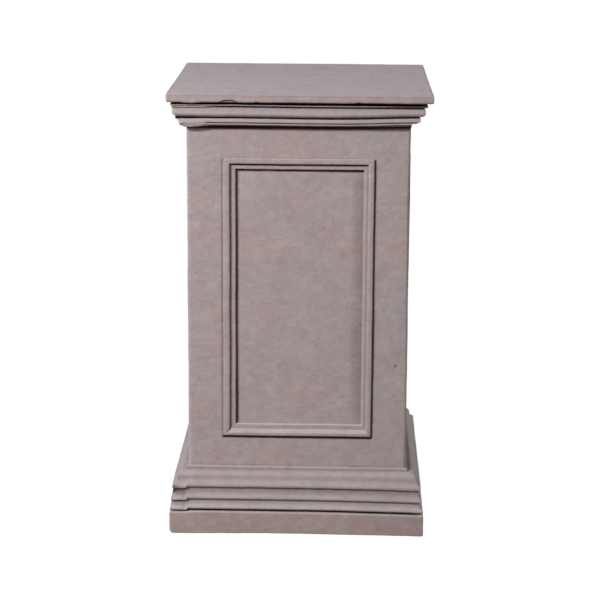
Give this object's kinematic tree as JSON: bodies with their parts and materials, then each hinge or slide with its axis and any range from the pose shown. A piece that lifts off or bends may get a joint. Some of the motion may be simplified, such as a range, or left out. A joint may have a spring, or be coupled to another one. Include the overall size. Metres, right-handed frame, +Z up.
{
  "type": "display pedestal",
  "caption": "Square display pedestal with a moulded base, a shaft with framed sunk panels, a moulded cornice and a thin overhanging top slab, in a matt stone-effect finish.",
  "frame": {"origin": "centre of the underside of the plinth, on the floor", "axes": "+Z up along the shaft, +X to the right and the front face towards -Y as the picture shows it"},
  "size_m": [0.576, 0.576, 1],
  "materials": {
    "plinth_stone": "matt, fine sandy grain, mauve grey",
    "moulding_stone": "matt, fine sandy grain, mauve grey",
    "shaft_stone": "matt, fine sandy grain, mottled mauve grey",
    "frame_stone": "matt, fine sandy grain, mauve grey",
    "slab_stone": "matt, fine sandy grain, cooler grey on top"
  },
  "bodies": {
    "root": {"plinth": "plinth_stone", "base_moulding": "moulding_stone", "shaft": "shaft_stone", "panel_frame_front": "frame_stone", "panel_frame_right": "frame_stone", "panel_frame_back": "frame_stone", "panel_frame_left": "frame_stone", "cornice_moulding": "moulding_stone", "top_slab": "slab_stone"}
  },
  "joints": []
}
